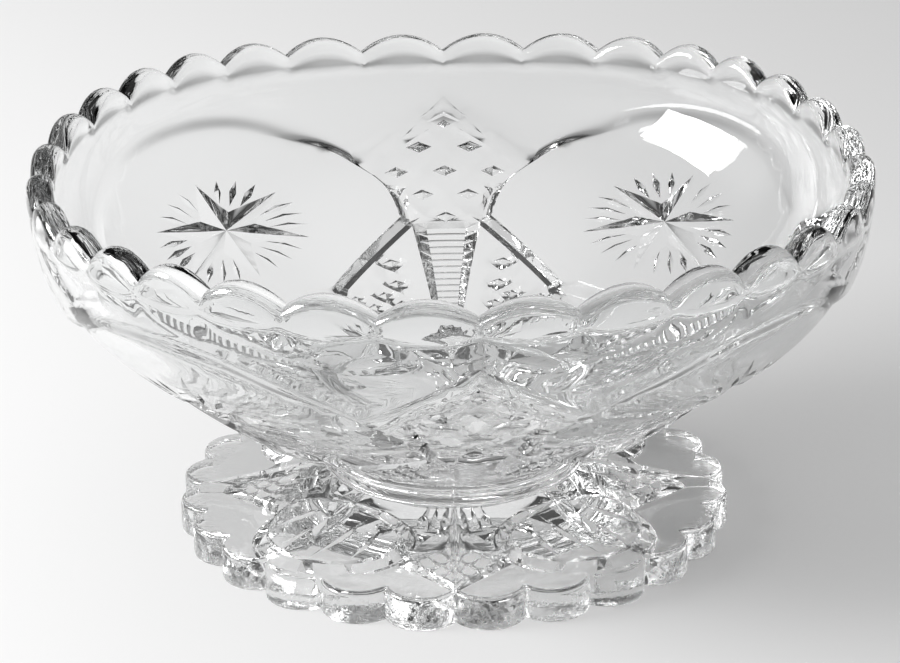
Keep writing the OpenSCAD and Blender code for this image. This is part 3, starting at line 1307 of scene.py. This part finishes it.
    def draw_spokes(self, sheet: Drawing) -> None:
        """Draws the short cuts that run in from the kite towards the middle.

        Args:
            sheet: The sheet.
        """
        for turn, reach in self.spokes:
            start, end = self.spoke_start * heading(turn), reach * heading(turn)
            lens_cut(sheet, self.on_kite, tuple(start), tuple(end), self.spoke_half_w, 0.0, self.ray_deep,
                     half=turn == 0)

    def sheet(self, inner_r: float, inset: float, dropped: float) -> Drawing:
        """Starts the sheet of an eighth of the foot, from the middle of a kite to the middle of a petal.

        Args:
            inner_r: Radius of its inner edge.
            inset: How far its outer edge lies inside the scallops.
            dropped: Depth of that edge.

        Returns:
            The sheet with its four sides drawn.
        """
        sheet = Drawing()
        width = EIGHTH * self.across_mm
        sheet.stroke([(x, inner_r) for x in np.linspace(0, width, self.seam.steps // 8 + 1)], 0, crisp=False)
        self.draw_edge(sheet, inset, dropped)
        edge_r = self.outline(inset)[0][1]
        for x in (0.0, width):
            sheet.stroke([(x, inner_r), (x, edge_r)], [0, None], crisp=False)
        return sheet

    def draw_edge(self, sheet: Drawing, inset: float, depth: float) -> None:
        """Draws the scalloped edge at an inset and a depth."""
        sheet.stroke([(a * self.across_mm, r) for a, r in self.outline(inset)], depth, crisp=False)

    def cut(self, sheet: Drawing, inner_r: float, step: float, depth_at: DepthAt) -> Facets:
        """Fills a sheet with dots and cuts it.

        Args:
            sheet: The sheet.
            inner_r: Radius of its inner edge.
            step: Distance between the dots.
            depth_at: Gives the depth of a dot that has none of its own.

        Returns:
            The facets, their places as angles and radii.
        """
        first = 0.9
        rows = np.arange(inner_r + first, self.pattern_r, step * ROW_PITCH)
        sheet.fill(EIGHTH * self.across_mm, rows, step, self.dot_clear)
        return sheet.cut(depth_at, self.across_mm)

    def top_pattern(self) -> Facets:
        """Cuts the smooth top of an eighth of the foot.

        Returns:
            The facets.
        """
        sheet = self.sheet(self.seam.radius, 0, self.shoulder)
        for inset in (*self.shoulder_insets, self.shoulder):
            drop = self.shoulder - math.sqrt(self.shoulder**2 - (self.shoulder - inset) ** 2)
            self.draw_edge(sheet, inset, drop)
        return self.cut(sheet, self.seam.radius, self.top_step, lambda x, y: 0.0)

    def under_pattern(self) -> Facets:
        """Cuts the underside of an eighth of the foot, with its petals and kites.

        Returns:
            The facets.
        """
        sheet = self.sheet(self.middle_r, self.heel, 0.0)
        self.draw_petal(sheet)
        self.draw_kite(sheet)
        self.draw_spokes(sheet)

        def depth_at(x: float, y: float) -> float:
            """Depth of the plain ground."""
            beside = self.kite_sink if inside(self.kite_floor, x, y) else 0.0
            return self.petal_sink if inside(self.petal_floor, x, y) else beside

        return self.cut(sheet, self.middle_r, self.under_step, depth_at)

    def on_top(self, a: np.ndarray, r: np.ndarray, depth: np.ndarray) -> np.ndarray:
        """Points of the top from angles, radii and depths."""
        return polar(a, r, self.top(r) - depth)

    def edge_ring(self, inset: float, z: float) -> np.ndarray:
        """Makes the whole scalloped edge.

        Args:
            inset: How far it is moved inward.
            z: Its height.

        Returns:
            Its points.
        """
        eighth = self.outline(inset)
        whole = []
        for quarter in range(QUARTERS):
            whole += [(2 * EIGHTH * quarter + a, r) for a, r in eighth[:-1]]
            whole += [(2 * EIGHTH * (quarter + 1) - a, r) for a, r in eighth[:0:-1]]
        return polar(*np.array(whole).T, z)

    def build(self) -> bpy.types.Object:
        """Makes the foot's mesh.

        Returns:
            The object.
        """
        glass = Pressing()
        glass.mirrored(self.top_pattern(), self.on_top)
        glass.mirrored(self.under_pattern(), polar)
        wall_top, waist = self.edge_z - self.shoulder, 0.6
        spots = ((0.0, wall_top), (0.0, waist * wall_top), *self.heel_rings, (self.heel, 0.0))
        glass.rings([self.edge_ring(inset, z) for inset, z in spots])
        glass.fan(circle(self.middle_r, 0, self.seam.steps), 0)
        joint = circle(self.seam.radius, self.seam.low_z, self.seam.steps)
        glass.fan(joint, self.seam.low_z, Face.FUSED)
        return glass.close("foot_glass")


# Finishes


class Wire:
    """A shader socket that takes Python arithmetic: each operation adds one Math node."""

    def __init__(self, graph: Graph, socket: bpy.types.NodeSocket) -> None:
        """Wraps an output socket of a graph."""
        self.graph, self.socket = graph, socket

    def maths(self, operation: str, *values: Wire | float) -> Wire:
        """Adds a Math node over values."""
        return self.graph.node("ShaderNodeMath", {"operation": operation}, dict(enumerate(values)))

    def __add__(self, other: Wire | float) -> Wire:
        """self + other."""
        return self.maths("ADD", self, other)

    __radd__ = __add__

    def __sub__(self, other: Wire | float) -> Wire:
        """self - other."""
        return self.maths("SUBTRACT", self, other)

    def __rsub__(self, other: Wire | float) -> Wire:
        """other - self."""
        return self.maths("SUBTRACT", other, self)

    def __mul__(self, other: Wire | float) -> Wire:
        """self * other."""
        return self.maths("MULTIPLY", self, other)

    __rmul__ = __mul__

    def __or__(self, other: Wire | float) -> Wire:
        """The larger of the two."""
        return self.maths("MAXIMUM", self, other)

    __ror__ = __or__

    def __abs__(self) -> Wire:
        """Its size without its sign."""
        return self.maths("ABSOLUTE", self)

    def step(self, low: float, high: float) -> Wire:
        """Smooth step from 0 at low to 1 at high."""
        inputs = {"Value": self, "From Min": low, "From Max": high}
        return self.graph.node("ShaderNodeMapRange", {"interpolation_type": "SMOOTHSTEP"}, inputs, "Result")


class Graph:
    """The node tree of a material or the world."""

    def __init__(self, owner: bpy.types.Material | bpy.types.World) -> None:
        """Empties the owner's tree.

        Args:
            owner: The material or world.
        """
        owner.use_nodes = True
        self.tree = owner.node_tree
        self.tree.nodes.clear()

    def node(self, kind: str, settings: dict | None = None, inputs: dict | None = None,
             output: str | int = 0) -> Wire | None:
        """Adds a node of any type.

        Args:
            kind: The node's type.
            settings: Its settings, set before its sockets.
            inputs: Values or wires by socket name or number.
            output: Which output to return.

        Returns:
            That output as a wire, or None if the node has no outputs.
        """
        made = self.tree.nodes.new(kind)
        for name, value in (settings or {}).items():
            setattr(made, name, value)
        for name, value in (inputs or {}).items():
            if isinstance(value, Wire):
                self.tree.links.new(value.socket, made.inputs[name])
            else:
                made.inputs[name].default_value = value
        return Wire(self, made.outputs[output]) if made.outputs else None

    def parts(self, vector: Wire) -> tuple[Wire, Wire, Wire]:
        """Splits a vector into its X, Y and Z."""
        x = self.node("ShaderNodeSeparateXYZ", {}, {"Vector": vector}, "X")
        return x, *(Wire(self, x.socket.node.outputs[k]) for k in ("Y", "Z"))

    def noise(self, where: Wire, scale: float, detail: float) -> Wire:
        """Adds a noise over places."""
        return self.node("ShaderNodeTexNoise", {}, {"Vector": where, "Scale": scale, "Detail": detail}, "Fac")

    def bump(self, strength: float, distance: float, height: Wire) -> Wire:
        """Turns a height into a normal."""
        inputs = {"Strength": strength, "Distance": distance, "Height": height}
        return self.node("ShaderNodeBump", {}, inputs, "Normal")

    def ray(self, kind: str) -> Wire:
        """Adds a test for a kind of ray."""
        return self.node("ShaderNodeLightPath", output=kind)

    def mix(self, share: Wire, low: Wire | Colour, high: Wire | Colour) -> Wire:
        """Mixes two colours by a share."""
        return self.node("ShaderNodeMix", {"data_type": "RGBA"}, {0: share, 6: low, 7: high}, 2)


class Finish:
    """A finish with a name, whose own class makes its surface."""

    name: str

    def surface(self, graph: Graph) -> Wire:
        """Makes the surface's shader."""
        raise NotImplementedError

    def material(self) -> bpy.types.Material:
        """Makes the material.

        Returns:
            The material.
        """
        made = bpy.data.materials.new(self.name)
        graph = Graph(made)
        graph.node("ShaderNodeOutputMaterial", {}, {"Surface": self.surface(graph)})
        return made


@dataclass(frozen=True)
class PressedGlass(Finish):
    """Clear soda glass, fire-polished: faint mould ripples, a trace of wear, and a grainy edge if it has one."""

    name: str = "clear_pressed_glass"
    tint: Colour = (0.985, 0.99, 0.99, 1.0)
    index: float = 1.5
    ripple_scale: float = 120.0
    ripple_height: float = 0.00002
    wear_scale: float = 900.0
    wear_from: Pair = (0.55, 0.9)
    wear_rough: float = 0.02
    shade: Colour = (0.81, 0.81, 0.81, 1.0)
    edge_from: Pair = (1.0, 2.0)
    edge_below: Pair = (0.0058, 0.0072)
    edge_rough: float = 0.3
    edge_grain: float = 4.0
    grain_scale: float = 700.0
    grain_from: Pair = (0.35, 0.7)
    seam_half_w: float = 0.00035
    seam_high: float = 0.0

    def surface(self, graph: Graph) -> Wire:
        """Makes the glass, which lets shadows and bounced light through with a plain shade.

        Args:
            graph: The material's graph.

        Returns:
            The shader.
        """
        where = graph.node("ShaderNodeTexCoord", output="Object")
        x, y, z = graph.parts(where)
        radius = x.maths("SQRT", x * x + y * y)
        edge = radius.step(*self.edge_from) * (1 - z.step(*self.edge_below))
        seam = 1 - x.maths("MINIMUM", abs(x), abs(y)).step(0.0, self.seam_half_w)
        ripple = graph.noise(where, self.ripple_scale, 2.0)
        grain = graph.noise(where, self.grain_scale, 2.0)
        wear = graph.noise(where, self.wear_scale, 3.0)
        height = ripple + edge * grain * self.edge_grain + seam * self.seam_high
        rough = self.wear_rough * wear.step(*self.wear_from)
        rough = rough + edge * grain.step(*self.grain_from) * self.edge_rough
        inputs = {
            "Base Color": self.tint, "Roughness": rough, "IOR": self.index, "Transmission Weight": 1.0,
            "Normal": graph.bump(1.0, self.ripple_height, height),
        }
        glass = graph.node("ShaderNodeBsdfPrincipled", {}, inputs, "BSDF")
        through = graph.node("ShaderNodeBsdfTransparent", {}, {"Color": self.shade}, "BSDF")
        share = graph.ray("Is Shadow Ray") | graph.ray("Is Diffuse Ray")
        return graph.node("ShaderNodeMixShader", {}, {0: share, 1: glass, 2: through}, "Shader")


@dataclass(frozen=True)
class FusedGlass(Finish):
    """The seam inside the glass, where two pressings melted into one and nothing shows."""

    name: str = "fused_seam"

    def surface(self, graph: Graph) -> Wire:
        """Makes nothing that can be seen."""
        return graph.node("ShaderNodeBsdfTransparent", {}, {"Color": WHITE}, "BSDF")


@dataclass(frozen=True)
class PaperFloor(Finish):
    """Matt white paper with a faint tooth. To all rays but the camera's its colour is painted: a painted lit sheet
    round the piece, and painted shade for the dim room round it as the glass sees it.
    """

    name: str = "white_paper"
    colour: Colour = (0.86, 0.86, 0.86, 1.0)
    # Painted shade: the paper's colour as the glass sees it away from the painted lit sheet, standing in for the dim
    # room
    painted_room_shade: Colour = (0.08, 0.08, 0.08, 1.0)
    rough: float = 0.9
    shine: float = 0.1
    tooth: float = 0.00005
    tooth_share: float = 0.3
    tooth_scale: float = 1500.0
    # Edges of the painted lit sheet, and how much of its painted light is taken off behind it
    front_edge: Pair = (-0.45, -0.2)
    back_edge: Pair = (0.34, 0.7)
    painted_back_shade: float = 0.5
    side_edge: Pair = (0.9, 1.4)

    def surface(self, graph: Graph) -> Wire:
        """Makes the paper, white to the camera; to all other rays its colour is painted light round the piece, painted
        half as bright behind it, and painted shade elsewhere.

        Args:
            graph: The material's graph.

        Returns:
            The shader.
        """
        where = graph.node("ShaderNodeTexCoord", output="Object")
        x, y, _ = graph.parts(where)
        # Painted light and shade: a mask of the lit sheet round the piece, painted darker behind it and dark past its
        # front and sides
        painted_lit_sheet = y.step(*self.front_edge) * (1 - self.painted_back_shade * y.step(*self.back_edge))
        painted_lit_sheet = painted_lit_sheet * (1 - abs(x).step(*self.side_edge))
        grain = graph.noise(where, self.tooth_scale, 3.0)
        # The paper's colour goes from the painted shade to white on the painted lit sheet and to the camera
        inputs = {
            "Base Color": graph.mix(painted_lit_sheet | graph.ray("Is Camera Ray"), self.painted_room_shade, self.colour),
            "Roughness": self.rough, "Specular IOR Level": self.shine,
            "Normal": graph.bump(self.tooth_share, self.tooth, grain),
        }
        return graph.node("ShaderNodeBsdfPrincipled", {}, inputs, "BSDF")


# Studio


@dataclass
class Studio:
    """Floor, light and camera, as the photograph has them."""

    stand: Triple = (0.0, -0.7613, 0.3497)
    pitch: float = 0.3788
    yaw: float = -0.0007
    roll: float = -0.0122
    focal_px: float = 3437.0
    sensor: float = 36.0
    clip: Pair = (0.01, 100.0)
    key_at: Triple = (-1.46, -0.17, 0.73)
    key_aim: Triple = (0.0, 0.0, 0.05)
    key_size: Pair = (0.95, 0.65)
    key_power: float = 51.0
    # The room's light by direction: how far left, how far back, how high
    dark: float = 0.06
    left_light: float = 0.5
    left_from: Pair = (0.2, 0.8)
    left_back: Pair = (0.35, 0.6)
    left_low: Pair = (0.0, 0.15)
    left_high: Pair = (0.4, 0.65)
    top_light: float = 0.6
    top_from: Pair = (0.8, 0.97)
    seen_light: float = 0.9
    floor_r: float = 6.0
    floor_gap: float = 0.0002
    floor_sides: int = 96
    bounces: int = 32
    glossy_bounces: int = 12

    def camera(self) -> None:
        """Makes the camera."""
        lens = bpy.data.cameras.new("camera")
        lens.sensor_width = self.sensor
        lens.sensor_fit = "HORIZONTAL"
        lens.lens = self.sensor * self.focal_px / IMAGE_W
        lens.clip_start, lens.clip_end = self.clip
        made = add_object("camera", lens)
        upright = Matrix.Rotation(math.pi / 2 - self.pitch, 4, "X")
        aim = Matrix.Rotation(-self.yaw, 4, "Z") @ upright @ Matrix.Rotation(self.roll, 4, "Z")
        made.matrix_world = Matrix.Translation(self.stand) @ aim
        bpy.context.scene.camera = made

    def floor(self) -> None:
        """Makes the paper floor."""
        mesh = bpy.data.meshes.new("floor")
        ring = circle(self.floor_r, -self.floor_gap, self.floor_sides)
        mesh.from_pydata(ring.tolist(), [], [tuple(range(self.floor_sides))])
        mesh.materials.append(PaperFloor().material())
        made = add_object("floor", mesh)

    def light(self) -> None:
        """Hangs the large soft lamp at the left."""
        lamp = bpy.data.lights.new("soft_key", "AREA")
        lamp.shape = "RECTANGLE"
        lamp.size, lamp.size_y = self.key_size
        lamp.energy = self.key_power
        made = add_object("soft_key", lamp)
        made.location = self.key_at
        aim = Vector(self.key_aim) - made.location
        made.rotation_euler = aim.to_track_quat("-Z", "Y").to_euler()

    def room(self) -> None:
        """Sets the room's light: pale at the left and overhead, dark elsewhere, and pale to the camera."""
        world = bpy.data.worlds.new("studio")
        bpy.context.scene.world = world
        graph = Graph(world)
        x, y, z = graph.parts(graph.node("ShaderNodeTexCoord", output="Generated"))
        left = (0 - x).step(*self.left_from) * (1 - y.step(*self.left_back))
        left = left * z.step(*self.left_low) * (1 - z.step(*self.left_high))
        level = (self.dark + self.left_light * left) | (self.top_light * z.step(*self.top_from))
        seen = graph.ray("Is Camera Ray")
        strength = seen * self.seen_light + (1 - seen) * level
        light = graph.node("ShaderNodeBackground", {}, {"Color": WHITE, "Strength": strength}, "Background")
        graph.node("ShaderNodeOutputWorld", {}, {"Surface": light})

    def set_up(self) -> None:
        """Builds the whole studio."""
        self.camera()
        self.floor()
        self.light()
        self.room()
        scene = bpy.context.scene
        scene.view_settings.view_transform = "Standard"
        scene.cycles.max_bounces = self.bounces
        scene.cycles.transmission_bounces = self.bounces
        scene.cycles.transparent_max_bounces = self.bounces
        scene.cycles.glossy_bounces = self.glossy_bounces


def main() -> None:
    """Builds the pressings and the studio."""
    logging.basicConfig(level=logging.INFO, format="%(name)s: %(message)s")
    seam = Seam()
    clear, fused = PressedGlass().material(), FusedGlass().material()
    grainy = PressedGlass(
        "clear_glass_grainy_edge", shade=(0.93, 0.93, 0.93, 1.0), edge_from=(0.0585, 0.0605), seam_high=8.0,
    ).material()
    for piece, node, glass in (
        (Bowl(seam), "bowl", clear), (Wafer(seam), "joining_wafer", grainy), (Foot(seam), "foot", grainy),
    ):
        made = piece.dressed((glass, fused))
        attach(made, "root")
        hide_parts(node)
        LOG.info("%s stands for %s", made.name, node)
    Studio().set_up()


if __name__ == "__main__":
    main()
